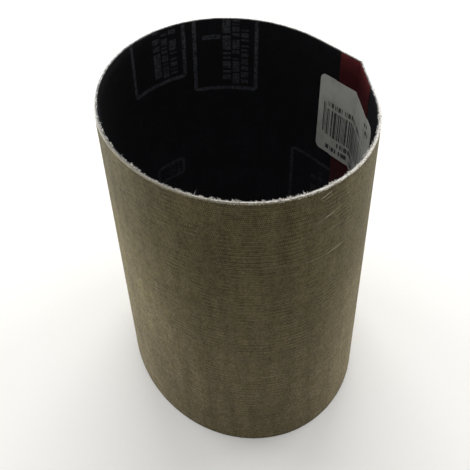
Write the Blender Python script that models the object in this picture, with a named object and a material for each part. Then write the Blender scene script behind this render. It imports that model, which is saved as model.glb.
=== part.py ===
"""A sanding belt standing on edge, with the tape over its splice and the paper label stuck inside it.

The belt is one strip of cloth-backed abrasive. Its two ends butt together at a seam, and a tape on the
inside holds them. The loop relaxes into an oval, and the stiff splice keeps the strip flat on both
sides of the seam, so the oval has a kink there.

Units are metres and +Z is up. The origin is the middle of the bounding box's underside, and the oval's
long axis lies along Y.
"""

import math

import bmesh
import bpy
import numpy as np

# The strip.
BELT_WIDTH = 0.100  # from edge to edge, which is the height of the standing loop
LOOP_LENGTH = 0.289  # once round the inner face
WALL = 0.0010  # cloth, resin and grain together

# The oval that the loop relaxes into.
OVAL_RATIO = 1.306  # long half-axis over short half-axis, on the inner face
SEAM_TURN = math.radians(8.2)  # place of the seam at the upper edge, from +X towards +Y
SEAM_LEAN = math.radians(1.5)  # the seam leans this much off square, towards +Y on its way down
SPLICE_FLAT = 0.0185  # reach of the tangent that the splice holds flat, on each side of the seam
SEAM_GAP = 0.0003  # between the two ends of the strip

# The tape over the splice.
TAPE_WIDTH = 0.025
TAPE_THICKNESS = 0.0002
TAPE_SHIFT = 0.0030  # from the seam to the middle of the tape, towards -Y
TAPE_TRIM = 0.0004  # the tape stops this far short of both edges

# The paper label.
LABEL_WIDTH = 0.040
LABEL_HEIGHT = 0.030
LABEL_CORNER = 0.0022
LABEL_THICKNESS = 0.00015
LABEL_BELOW_EDGE = 0.0105  # from the upper edge down to the label
LABEL_PAST_SEAM = 0.0175  # the label reaches this far past the seam, towards +Y
LABEL_RAMP = 0.0020  # the label climbs onto the tape over this length

# A glued piece stands off what carries it by this much.
CLEARANCE = 0.0003

# How finely the solids are cut into flat faces.
OVAL_SAMPLES = 1080
STRIP_COLUMNS = 120
STRIP_ROWS = 5
TAPE_COLUMNS_A_SIDE = 4
LABEL_COLUMNS = 20
LABEL_ROWS = 5
CORNER_COLUMNS = 5
SHARP_ANGLE = math.radians(35)


def oval_with_splice(short_half, height):
    """Outline of the inner face at one height, from the seam once round to the seam.

    The oval's stretch across the seam is replaced by its two tangents, which meet at the kink. The
    seam's place moves along the oval with the height, because the seam leans.
    """
    long_half = short_half * OVAL_RATIO
    seam = SEAM_TURN + math.tan(SEAM_LEAN) * (BELT_WIDTH - height) / long_half
    half_span = math.asin(SPLICE_FLAT / long_half)
    angles = np.linspace(seam + half_span, seam + 2 * math.pi - half_span, OVAL_SAMPLES)
    curve = np.column_stack([short_half * np.cos(angles), long_half * np.sin(angles)])
    kink = np.array([short_half * math.cos(seam), long_half * math.sin(seam)]) / math.cos(half_span)
    return np.vstack([kink, curve, kink])


def lengths_along(points):
    """Distance from the first point to each point, along the line through them."""
    steps = np.hypot(*np.diff(points, axis=0).T)
    return np.concatenate([[0.0], np.cumsum(steps)])


def turned_inward(directions):
    """Unit vectors a quarter turn to the left of the given ones, which point into the loop."""
    return np.column_stack([-directions[:, 1], directions[:, 0]])


class Section:
    """The loop's inner outline at one height, sized so that it keeps the strip's length."""

    def __init__(self, height):
        short_half = LOOP_LENGTH / (2 * math.pi)
        for _ in range(8):
            short_half *= LOOP_LENGTH / lengths_along(oval_with_splice(short_half, height))[-1]
        self.height = height
        self.points = oval_with_splice(short_half, height)
        self.lengths = lengths_along(self.points)
        self.middles = (self.lengths[:-1] + self.lengths[1:]) / 2
        steps = np.diff(self.points, axis=0)
        self.inward = turned_inward(steps / np.hypot(*steps.T)[:, None])
        both_ends = self.inward[0] + self.inward[-1]
        self.mitre = both_ends / np.linalg.norm(both_ends)

    def place(self, from_seam, depth, mitred=0.0):
        """Points at signed lengths from the seam and at a depth inside the inner face.

        A negative depth is outside it. Points no further than mitred from the seam are set off along
        the line that halves the kink, and all others square to the face.
        """
        along = np.mod(from_seam, self.lengths[-1])
        nearer = np.minimum(along, self.lengths[-1] - along)
        point = np.column_stack([np.interp(along, self.lengths, self.points[:, k]) for k in (0, 1)])
        inward = np.column_stack([np.interp(along, self.middles, self.inward[:, k]) for k in (0, 1)])
        inward /= np.hypot(*inward.T)[:, None]
        at_kink = nearer <= mitred + 1e-9
        inward[at_kink] = self.mitre / (inward[at_kink] @ self.mitre)[:, None]
        return point + inward * np.reshape(depth, (-1, 1))


def with_height(points, height):
    """Points in the plane, each given the same height."""
    return np.column_stack([points, np.full(len(points), height)])


def slab_faces(columns, rows):
    """Faces of a closed slab whose two sides are grids of rows by columns points, one after the other."""
    side = rows * columns
    index = np.arange(side).reshape(rows, columns)
    squares = np.stack([index[:-1, :-1], index[:-1, 1:], index[1:, 1:], index[1:, :-1]], axis=-1)
    near = squares.reshape(-1, 4)
    far = near[:, ::-1] + side
    border = np.concatenate([index[0], index[1:, -1], index[-1, -2::-1], index[-2:0:-1, 0]])
    following = np.roll(border, -1)
    rim = np.column_stack([following, border, border + side, following + side])
    return np.vstack([near, far, rim]).tolist()


def new_object(name, near_rows, far_rows, material):
    """A closed slab between two sides, each given as a list of rows of points."""
    vertices = np.vstack(near_rows + far_rows)
    mesh = bpy.data.meshes.new(name)
    mesh.from_pydata(vertices.tolist(), [], slab_faces(len(near_rows[0]), len(near_rows)))
    shell = bmesh.new()
    shell.from_mesh(mesh)
    bmesh.ops.recalc_face_normals(shell, faces=shell.faces)
    shell.to_mesh(mesh)
    shell.free()
    mesh.shade_smooth()
    mesh.set_sharp_from_angle(angle=SHARP_ANGLE)
    mesh.materials.append(material)
    bpy.context.scene.collection.objects.link(bpy.data.objects.new(name, mesh))


def plain_material(name, colour, roughness):
    """A Principled material of one colour."""
    material = bpy.data.materials.new(name)
    material.use_nodes = True
    shader = material.node_tree.nodes["Principled BSDF"]
    shader.inputs["Base Color"].default_value = (*colour, 1.0)
    shader.inputs["Roughness"].default_value = roughness
    shader.inputs["Metallic"].default_value = 0.0
    return material


def abrasive_cloth():
    """Khaki-grey abrasive, dull and dry."""
    return plain_material("abrasive_cloth", (0.127, 0.109, 0.070), 0.85)


def red_tape():
    """Dark red plastic film."""
    return plain_material("red_tape", (0.160, 0.012, 0.016), 0.45)


def white_paper():
    """Coated white paper."""
    return plain_material("white_paper", (0.800, 0.800, 0.770), 0.55)


def strip_rows(centre, depth):
    """One face of the strip: rows of points from its first end round to its last, from the foot up."""
    stations = np.linspace(SEAM_GAP / 2, LOOP_LENGTH - SEAM_GAP / 2, STRIP_COLUMNS + 1)
    rows = []
    for height in np.linspace(0.0, BELT_WIDTH, STRIP_ROWS + 1):
        points = Section(height).place(stations, depth, mitred=SEAM_GAP / 2)
        rows.append(with_height(points - centre, height))
    return rows


def make_abrasive_belt(centre):
    """The strip: a wall of even thickness from one end round to the other."""
    new_object("abrasive_belt", strip_rows(centre, 0.0), strip_rows(centre, -WALL), abrasive_cloth())


def tape_reach():
    """How far the tape reaches from the seam towards -Y and towards +Y."""
    return TAPE_WIDTH / 2 + TAPE_SHIFT, TAPE_WIDTH / 2 - TAPE_SHIFT


def tape_rows(centre, depth):
    """One face of the tape: rows of points across it, from the foot up, with a column on the seam."""
    before, after = tape_reach()
    stations = np.union1d(
        np.linspace(-before, 0.0, TAPE_COLUMNS_A_SIDE + 1),
        np.linspace(0.0, after, TAPE_COLUMNS_A_SIDE + 1),
    )
    rows = []
    for height in np.linspace(TAPE_TRIM, BELT_WIDTH - TAPE_TRIM, STRIP_ROWS + 1):
        rows.append(with_height(Section(height).place(stations, depth) - centre, height))
    return rows


def make_splice_tape(centre):
    """The tape: a thin band along the whole seam, folded with it."""
    inner, outer = CLEARANCE + TAPE_THICKNESS, CLEARANCE
    new_object("splice_tape", tape_rows(centre, inner), tape_rows(centre, outer), red_tape())


def label_rise(from_seam):
    """How much further in the label lies where it crosses the tape, with a ramp at each tape edge."""
    before, after = tape_reach()
    past_edge = np.maximum(np.maximum(from_seam - after, -before - from_seam), 0.0)
    return (CLEARANCE + TAPE_THICKNESS) * np.maximum(0.0, 1.0 - past_edge / LABEL_RAMP)


def label_columns():
    """Lengths from the seam of the label's columns at its upper edge, close together at its corners."""
    first, last = LABEL_PAST_SEAM - LABEL_WIDTH, LABEL_PAST_SEAM
    corner = LABEL_CORNER * (1.0 - np.cos(np.linspace(0.0, math.pi / 2, CORNER_COLUMNS + 1)))
    before, after = tape_reach()
    bends = np.array([-before - LABEL_RAMP, -before, 0.0, after, after + LABEL_RAMP])
    bends = bends[(bends > first + LABEL_CORNER) & (bends < last - LABEL_CORNER)]
    even = np.linspace(first + LABEL_CORNER, last - LABEL_CORNER, LABEL_COLUMNS + 1)[1:-1]
    clear = np.abs(even[:, None] - bends[None, :]).min(axis=1, initial=LABEL_WIDTH)
    even = even[clear > LABEL_WIDTH / LABEL_COLUMNS / 4]
    return np.unique(np.concatenate([first + corner, even, bends, last - corner]))


def upright_ends(columns, below_top):
    """Lengths from the seam of the label's columns, at a height this far below its upper edge.

    The seam leans away under the label, whose ends stand upright. The columns on the tape lean with
    the seam, and those beyond it take up the difference evenly.
    """
    before, after = tape_reach()
    slip = math.tan(SEAM_LEAN) * below_top
    knots = [columns[0], -before - LABEL_RAMP, after + LABEL_RAMP, columns[-1]]
    return columns - slip * np.interp(columns, knots, [1.0, 0.0, 0.0, 1.0])


def label_rows(centre, thickness):
    """One face of the label: rows of points across it, which close up at its round corners."""
    columns = label_columns()
    to_end = np.minimum(columns - columns[0], columns[-1] - columns)
    short = np.maximum(LABEL_CORNER - to_end, 0.0)
    pulled_in = LABEL_CORNER - np.sqrt(np.maximum(LABEL_CORNER**2 - short**2, 0.0))
    rows = []
    for share in np.linspace(1.0, 0.0, LABEL_ROWS + 1):
        below_top = pulled_in + share * (LABEL_HEIGHT - 2 * pulled_in)
        row = []
        for column, drop in zip(columns, below_top):
            height = BELT_WIDTH - LABEL_BELOW_EDGE - drop
            from_seam = upright_ends(columns, drop)[columns == column]
            depth = CLEARANCE + label_rise(from_seam) + thickness
            row.append(with_height(Section(height).place(from_seam, depth) - centre, height))
        rows.append(np.vstack(row))
    return rows


def make_paper_label(centre):
    """The label: a rounded rectangle of paper that follows the wall and steps over the tape."""
    new_object("paper_label", label_rows(centre, LABEL_THICKNESS), label_rows(centre, 0.0), white_paper())


def outline_centre():
    """Middle of the strip's outer outline over its whole height, in the oval's own frame."""
    outline = np.vstack(strip_rows(np.zeros(2), -WALL))[:, :2]
    return (outline.min(axis=0) + outline.max(axis=0)) / 2


def main():
    """Clears the scene and builds the three pieces."""
    for old in list(bpy.data.objects):
        bpy.data.objects.remove(old)
    centre = outline_centre()
    make_abrasive_belt(centre)
    make_splice_tape(centre)
    make_paper_label(centre)


main()
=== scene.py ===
"""A sanding belt standing on edge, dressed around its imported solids.

The belt is one strip of cloth-backed abrasive, bent round until its two ends butt together at a seam. A red
tape holds the seam inside the loop, and a paper label is stuck across the tape. Every surface here is a
function on the wall of the loop. A place on the wall has three numbers: how far along the strip it is from
the seam, how deep it lies inside the inner face, and how high it is above the foot.
"""

import logging
import math
from collections.abc import Sequence
from dataclasses import dataclass, field
from enum import Enum

import bpy
import numpy as np
from mathutils import Matrix, Vector


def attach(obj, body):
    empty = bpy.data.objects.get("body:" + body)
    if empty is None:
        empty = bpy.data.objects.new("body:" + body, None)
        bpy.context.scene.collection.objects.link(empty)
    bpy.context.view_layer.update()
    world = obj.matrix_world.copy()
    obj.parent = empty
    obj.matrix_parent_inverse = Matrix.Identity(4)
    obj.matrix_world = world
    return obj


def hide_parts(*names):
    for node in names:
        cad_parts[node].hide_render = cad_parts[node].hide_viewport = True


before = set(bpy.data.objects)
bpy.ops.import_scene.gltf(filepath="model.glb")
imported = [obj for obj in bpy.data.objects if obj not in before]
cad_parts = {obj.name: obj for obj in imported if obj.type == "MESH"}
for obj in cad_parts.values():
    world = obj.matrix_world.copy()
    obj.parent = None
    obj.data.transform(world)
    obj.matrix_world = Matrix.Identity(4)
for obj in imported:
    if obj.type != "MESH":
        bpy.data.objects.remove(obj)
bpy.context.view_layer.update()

MILLIMETRES = 1000.0
WALL_ATTRIBUTE = "wall_mm"
TONE_ATTRIBUTE = "tone"

log = logging.getLogger("sanding_belt")

Array = np.ndarray
Pair = tuple[float, float]
Triple = tuple[float, float, float]
Colour = Triple
Socket = bpy.types.NodeSocket
Fed = float | Sequence[float] | Socket

# How the finishes name their settings. Lengths on the wall are in millimetres.
Ramp = tuple[float, ...]  # from, to, and the numbers there, which are 0 and 1 where left out
Noise = tuple[float, ...]  # bumps on a millimetre, then the number and strength of finer layers
Streaks = tuple[Triple, float]  # spacing on the three axes, and contrast
Patches = Pair  # size and contrast
Weave = tuple[Triple, float]  # pitch on the three axes, and how far the rows wander


class Slot(Enum):
    """The record's material slots."""

    ABRASIVE = "abrasive_cloth"
    EDGE = "cut_edge"
    TAPE = "splice_tape"
    PAPER = "label_paper"


class Kind(Enum):
    """Kinds of socket on an effect."""

    NUMBER = "NodeSocketFloat"
    VECTOR = "NodeSocketVector"


class CutEdge(Enum):
    """The strip's two cut edges, each with the direction in which its threads stand out."""

    UPPER = 1.0
    LOWER = -1.0


# The wall of the loop.


@dataclass
class Section:
    """The loop's inner outline at one height."""

    points: Array
    lengths: Array = field(init=False)
    middles: Array = field(init=False)
    inward: Array = field(init=False)
    mitre: Array = field(init=False)

    def __post_init__(self) -> None:
        """Works out lengths along the outline, and the unit vectors that point into the loop.

        Each inward vector is its segment's direction turned a quarter to the left. The mitre halves
        the angle between the first and the last of them, which meet at the seam.
        """
        steps = np.diff(self.points, axis=0)
        size = np.hypot(*steps.T)
        self.lengths = np.concatenate([[0.0], np.cumsum(size)])
        self.middles = (self.lengths[:-1] + self.lengths[1:]) / 2
        self.inward = np.column_stack([-steps[:, 1], steps[:, 0]]) / size[:, None]
        both = self.inward[0] + self.inward[-1]
        self.mitre = both / np.linalg.norm(both)

    def place(self, along: Array, depth: Array, at_kink: Array) -> Array:
        """Points of the plane, each at its length along the outline and its depth inside it.

        The point is the outline's point plus the depth times the inward vector there. Where at_kink
        is set the inward vector is the mitre, lengthened so that the wall keeps its thickness.

        Args:
            along: lengths from the seam, from 0 to the whole length.
            depth: depths inside the inner face, below 0 in the wall.
            at_kink: which points are set off along the mitre.

        Returns:
            One row of x and y for each point.
        """
        point = np.column_stack([np.interp(along, self.lengths, self.points[:, k]) for k in (0, 1)])
        inward = np.column_stack([np.interp(along, self.middles, self.inward[:, k]) for k in (0, 1)])
        inward /= np.hypot(*inward.T)[:, None]
        inward[at_kink] = self.mitre / (inward[at_kink] @ self.mitre)[:, None]
        return point + inward * depth[:, None]


@dataclass
class LoopPlan:
    """The standing loop, as a map from places on its wall to points in space.

    The outline is an oval of fixed length whose stretch across the seam is replaced by its two
    tangents, because the splice is stiff and stays flat. The seam leans, so the kink moves along the
    oval with the height. Sections at a few levels are joined by straight lines, as in the solids.
    """

    width: float = 0.100
    length: float = 0.289
    wall: float = 0.0010
    oval_ratio: float = 1.306
    seam_turn: float = math.radians(8.2)
    seam_lean: float = math.radians(1.5)
    splice_flat: float = 0.0185
    mitred: float = 0.00015
    levels: int = 6
    samples: int = 1080
    centring_samples: int = 121
    fitting_rounds: int = 8
    sections: list[Section] = field(init=False)
    centre: Array = field(init=False)

    def __post_init__(self) -> None:
        """Builds the sections and centres the loop on the middle of its outer outline."""
        self.sections = [self.section(h) for h in np.linspace(0.0, self.width, self.levels)]
        self.centre = np.zeros(2)
        along, height = np.meshgrid(
            np.linspace(self.mitred, self.length - self.mitred, self.centring_samples),
            np.linspace(0.0, self.width, self.levels),
        )
        outer = self.place(np.stack([along, np.full_like(along, -self.wall), height], axis=-1))
        flat = outer.reshape(-1, 3)[:, :2]
        self.centre = (flat.min(axis=0) + flat.max(axis=0)) / 2

    def outline(self, short_half: float, height: float) -> Array:
        """The inner outline for one half-axis, from the seam round to the seam again.

        The oval's points are its half-axes times the cosine and the sine of an angle. The kink is
        where the tangents at both ends of the splice meet: the oval's point at the seam divided by
        the cosine of half the angle that the splice spans.

        Args:
            short_half: half of the oval's short axis.
            height: height above the foot.

        Returns:
            Rows of x and y.
        """
        long_half = short_half * self.oval_ratio
        seam = self.seam_turn + math.tan(self.seam_lean) * (self.width - height) / long_half
        half_span = math.asin(self.splice_flat / long_half)
        angles = np.linspace(seam + half_span, seam + 2 * math.pi - half_span, self.samples)
        curve = np.column_stack([short_half * np.cos(angles), long_half * np.sin(angles)])
        kink = np.array([short_half * math.cos(seam), long_half * math.sin(seam)])
        kink /= math.cos(half_span)
        return np.vstack([kink, curve, kink])

    def section(self, height: float) -> Section:
        """The outline at one height, with its half-axis set so that it has the strip's length.

        Args:
            height: height above the foot.

        Returns:
            The section there.
        """
        short_half = self.length / (2 * math.pi)
        for _ in range(self.fitting_rounds):
            around = np.hypot(*np.diff(self.outline(short_half, height), axis=0).T).sum()
            short_half *= self.length / around
        return Section(self.outline(short_half, height))

    def place(self, wall: Array) -> Array:
        """Points in space for places on the wall.

        A place between two levels is its points in both sections, mixed by its height. Above the top
        level and below the lowest it uses that level's section.

        Args:
            wall: places, with along, depth and height on the last axis.

        Returns:
            Points of the same shape, with x, y and z on the last axis.
        """
        along, depth, height = wall.reshape(-1, 3).T
        along = np.mod(along, self.length)
        at_kink = np.minimum(along, self.length - along) <= self.mitred + 1e-9
        level = np.clip(height / self.width, 0.0, 1.0) * (self.levels - 1)
        low = np.minimum(level.astype(int), self.levels - 2)
        share = (level - low)[:, None]
        found = np.stack([s.place(along, depth, at_kink) for s in self.sections])
        each = np.arange(along.size)
        flat = found[low, each] * (1 - share) + found[low + 1, each] * share - self.centre
        return np.column_stack([flat, height]).reshape(wall.shape)


def smooth_ragged(along: Array, spacing: float, rng: np.random.Generator) -> Array:
    """An uneven line of even roughness.

    Random values from -1 to 1 stand at even spacing, and between two of them the line runs from one
    to the other as a cosine does.

    Args:
        along: where to read the line, from 0 up.
        spacing: between the random values.
        rng: source of the random values.

    Returns:
        Values from -1 to 1.
    """
    at = along / spacing
    first = np.floor(at).astype(int)
    values = rng.uniform(-1.0, 1.0, int(first.max()) + 2)
    share = (1 - np.cos(math.pi * (at - first))) / 2
    return values[first] * (1 - share) + values[first + 1] * share


# Meshes swept through places on the wall.


def sweep_faces(rings: int, sides: int) -> tuple[Array, Array]:
    """Faces of a closed sweep of rings, each a closed loop of sides points.

    A side face joins two neighbours on a ring to the same two on the next ring. The first and the
    last ring are closed by one face each, turned so that both look away from the sweep.

    Args:
        rings: how many rings there are.
        sides: how many points a ring has.

    Returns:
        The side faces, with four indices a row, and the two end faces, with sides indices a row.
    """
    index = np.arange(rings * sides).reshape(rings, sides)
    beside = np.roll(index, -1, axis=1)
    quads = np.stack([index[:-1], beside[:-1], beside[1:], index[1:]], axis=-1).reshape(-1, 4)
    ends = np.stack([index[0, ::-1], index[-1]])
    return quads, ends


@dataclass
class Piece:
    """One finished piece, and what it takes from the record."""

    obj: bpy.types.Object
    slot: Slot
    replaces: str | None = None

    def hand_over(self) -> None:
        """Says in the frame's terms what the piece rides on and stands for, and logs its triangles."""
        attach(self.obj, "root")
        if self.replaces:
            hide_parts(self.replaces)
        mesh = self.obj.data
        mesh.calc_loop_triangles()
        log.info("%s: %d triangles", self.obj.name, len(mesh.loop_triangles))


def swept_object(
    name: str,
    plan: LoopPlan,
    wall: Array,
    materials: Sequence[bpy.types.Material],
    tone: Array | None = None,
    side_material: Array | None = None,
    sharp: float = math.radians(50),
) -> bpy.types.Object:
    """A mesh of one or more closed sweeps, given by their places on the wall.

    Args:
        name: the object's name.
        plan: the wall's map into space.
        wall: places of shape sweeps, rings, sides, 3.
        materials: the object's materials.
        tone: one number for each sweep, kept as an attribute for the materials.
        side_material: for each side of a ring, the material of the faces that start there.
        sharp: edges that turn by more than this are sharp.

    Returns:
        The object, at the origin, with its wall places kept as an attribute.
    """
    sweeps, rings, sides, _ = wall.shape
    points = plan.place(wall).reshape(-1, 3)
    quads, ends = sweep_faces(rings, sides)
    shift = np.arange(sweeps)[:, None, None] * rings * sides
    quads = (quads[None] + shift).reshape(-1, 4)
    ends = (ends[None] + shift).reshape(-1, sides)
    corners = np.concatenate([quads.ravel(), ends.ravel()]).astype(np.int32)
    sizes = np.concatenate([np.full(len(quads), 4), np.full(len(ends), sides)])
    starts = np.concatenate([[0], np.cumsum(sizes)[:-1]]).astype(np.int32)

    mesh = bpy.data.meshes.new(name)
    mesh.vertices.add(len(points))
    mesh.vertices.foreach_set("co", points.astype(np.float32).ravel())
    mesh.loops.add(len(corners))
    mesh.loops.foreach_set("vertex_index", corners)
    mesh.polygons.add(len(sizes))
    mesh.polygons.foreach_set("loop_start", starts)
    for material in materials:
        mesh.materials.append(material)
    if side_material is not None:
        each = np.tile(side_material, sweeps * (rings - 1))
        index = np.concatenate([each, np.full(len(ends), len(materials) - 1)])
        mesh.polygons.foreach_set("material_index", index.astype(np.int32))
    mesh.update(calc_edges=True)
    mesh.validate()
    place = mesh.attributes.new(WALL_ATTRIBUTE, "FLOAT_VECTOR", "POINT")
    place.data.foreach_set("vector", (wall.reshape(-1, 3) * MILLIMETRES).astype(np.float32).ravel())
    if tone is not None:
        shade = mesh.attributes.new(TONE_ATTRIBUTE, "FLOAT", "POINT")
        shade.data.foreach_set("value", np.repeat(tone, rings * sides).astype(np.float32))
    mesh.shade_smooth()
    mesh.set_sharp_from_angle(angle=sharp)
    obj = bpy.data.objects.new(name, mesh)
    bpy.context.scene.collection.objects.link(obj)
    return obj


def graded(low: float, high: float, finest: float, coarsest: float) -> Array:
    """Stations from low to high, close together at both ends and wide apart in the middle.

    Steps grow by a third from each end until they reach the coarsest, and are then scaled to fit.

    Args:
        low: the first station.
        high: the last station.
        finest: the step at both ends.
        coarsest: the longest step.

    Returns:
        The stations in rising order.
    """
    growth, most_steps = 1.33, 60
    growing = finest * growth ** np.arange(most_steps)
    growing = growing[growing < coarsest]
    middle = max(1, round((high - low - 2 * growing.sum()) / coarsest))
    steps = np.concatenate([growing, np.full(middle, coarsest), growing[::-1]])
    at = np.concatenate([[0.0], np.cumsum(steps)])
    return low + at / at[-1] * (high - low)


# Shader nodes.


class NodeBench:
    """Adds nodes to one tree and joins them up."""

    def __init__(self, tree: bpy.types.NodeTree) -> None:
        """Starts on a tree."""
        self.tree = tree

    def feed(self, entry: Socket, fed: Fed) -> None:
        """Links a socket to an input, or sets the input's own value.

        Args:
            entry: the input.
            fed: a socket, or the value to set.
        """
        if isinstance(fed, bpy.types.NodeSocket):
            self.tree.links.new(fed, entry)
        else:
            entry.default_value = fed

    def add(
        self, kind: str, inputs: dict[str | int, Fed] | None = None, **settings: object
    ) -> bpy.types.Node:
        """Adds one node.

        Args:
            kind: the node's type, without its common prefix.
            inputs: what goes into its inputs, by name or by number.
            **settings: its other properties.

        Returns:
            The node.
        """
        node = self.tree.nodes.new(f"ShaderNode{kind}")
        for name, setting in settings.items():
            setattr(node, name, setting)
        for key, fed in (inputs or {}).items():
            self.feed(node.inputs[key], fed)
        return node

    def maths(self, operation: str, *fed: Fed, clamped: bool = False) -> Socket:
        """The result of a Math node."""
        inputs = dict(enumerate(fed))
        return self.add("Math", inputs, operation=operation, use_clamp=clamped).outputs[0]

    def chained(self, operation: str, *fed: Fed) -> Fed:
        """Takes the first number and each further one in turn through a Math node.

        Args:
            operation: the nodes' operation.
            *fed: the numbers.

        Returns:
            The last result.
        """
        result, *others = fed
        for other in others:
            result = self.maths(operation, result, other)
        return result

    def product(self, *fed: Fed) -> Fed:
        """The product of some numbers."""
        return self.chained("MULTIPLY", *fed)

    def largest(self, *fed: Fed) -> Fed:
        """The largest of some numbers."""
        return self.chained("MAXIMUM", *fed)

    def scaled(self, vector: Fed, factor: Fed) -> Socket:
        """A vector or colour times a number."""
        node = self.add("VectorMath", {0: vector, "Scale": factor}, operation="SCALE")
        return node.outputs["Vector"]

    def times(self, vector: Fed, factors: Fed) -> Socket:
        """A vector times another, axis by axis."""
        return self.add("VectorMath", {0: vector, 1: factors}, operation="MULTIPLY").outputs[0]

    def plus(self, vector: Fed, other: Fed) -> Socket:
        """The sum of two vectors."""
        return self.add("VectorMath", {0: vector, 1: other}, operation="ADD").outputs[0]

    def axes(self, vector: Fed) -> tuple[Socket, Socket, Socket]:
        """The three numbers of a vector."""
        return tuple(self.add("SeparateXYZ", {0: vector}).outputs)

    def vector(self, x: Fed, y: Fed, z: Fed) -> Socket:
        """A vector of three numbers."""
        return self.add("CombineXYZ", {0: x, 1: y, 2: z}).outputs[0]

    def mixed(self, share: Fed, first: Fed, second: Fed) -> Socket:
        """A colour between two others."""
        node = self.add("Mix", {0: share, 6: first, 7: second}, data_type="RGBA")
        return node.outputs[2]

    def eased(self, value: Fed, low: Fed, high: Fed, at_low: Fed = 0.0, at_high: Fed = 1.0) -> Socket:
        """A number that runs smoothly from at_low to at_high as value runs from low to high.

        Args:
            value: what it follows.
            low: where it starts to change.
            high: where it stops.
            at_low: the number up to low.
            at_high: the number from high.

        Returns:
            The number's socket.
        """
        inputs = {"Value": value, "From Min": low, "From Max": high, "To Min": at_low, "To Max": at_high}
        return self.add("MapRange", inputs, interpolation_type="SMOOTHSTEP").outputs[0]

    def noise(self, vector: Fed, scale: Fed, detail: float = 3.0, roughness: float = 0.55) -> Socket:
        """Soft random values from 0 to 1.

        Args:
            vector: where to read them.
            scale: how many bumps there are on a unit.
            detail: how many finer layers are added.
            roughness: how strong the finer layers are.

        Returns:
            The value's socket.
        """
        inputs = {"Vector": vector, "Scale": scale, "Detail": detail, "Roughness": roughness}
        return self.add("TexNoise", inputs).outputs[0]

    def speck(self, vector: Fed) -> Socket:
        """A random value from 0 to 1 that has nothing to do with its neighbours."""
        return self.add("TexWhiteNoise", {"Vector": vector}).outputs["Value"]

    def wall(self) -> Socket:
        """The place on the wall in millimetres: along, depth and height."""
        node = self.add("Attribute", attribute_name=WALL_ATTRIBUTE)
        return node.outputs["Vector"]

    def object_axes(self) -> tuple[Socket, Socket, Socket]:
        """The point's three Object coordinates, in metres."""
        return self.axes(self.add("TexCoord").outputs["Object"])

    def effect(self, group: bpy.types.NodeTree, **fed: Fed) -> bpy.types.Node:
        """Places an effect. Its inputs are named in words, with underscores for the spaces.

        Args:
            group: the effect's node group.
            **fed: what goes into its inputs.

        Returns:
            The group's node.
        """
        node = self.add("Group", node_tree=group)
        for name, value in fed.items():
            self.feed(node.inputs[name.replace("_", " ").capitalize()], value)
        return node

    def result(self, group: bpy.types.NodeTree, **fed: Fed) -> Socket:
        """The first output of an effect placed in the same way."""
        return self.effect(group, **fed).outputs[0]


class EffectBench(NodeBench):
    """A node group under construction, with named inputs and outputs."""

    def __init__(self, name: str, inputs: dict[str, Kind], outputs: dict[str, Kind]) -> None:
        """Makes the group and its sockets.

        Args:
            name: the group's name.
            inputs: the kind of each input, by its name.
            outputs: the kind of each output, by its name.
        """
        group = bpy.data.node_groups.new(name, "ShaderNodeTree")
        super().__init__(group)
        for title, kind in inputs.items():
            group.interface.new_socket(name=title, in_out="INPUT", socket_type=kind.value)
        for title, kind in outputs.items():
            group.interface.new_socket(name=title, in_out="OUTPUT", socket_type=kind.value)
        self.entry = group.nodes.new("NodeGroupInput").outputs
        self.exit = group.nodes.new("NodeGroupOutput").inputs

    def give(self, title: str, fed: Fed) -> None:
        """Sends a socket to one of the group's outputs."""
        self.feed(self.exit[title], fed)


@dataclass(frozen=True)
class PrintBlock:
    """A block of bars in a printed frame, by its sides as shares of the frame's width and height."""

    first: float
    last: float
    low: float
    high: float
    pitch: float
    fill: float


PRINT_BLOCKS = (
    PrintBlock(0.13, 0.25, 0.05, 0.86, 0.75, 0.66),
    PrintBlock(0.28, 0.39, 0.04, 0.90, 0.60, 0.62),
    PrintBlock(0.42, 0.55, 0.06, 0.84, 0.90, 0.68),
    PrintBlock(0.58, 0.87, 0.46, 0.50, 9.00, 1.10),
)


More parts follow.
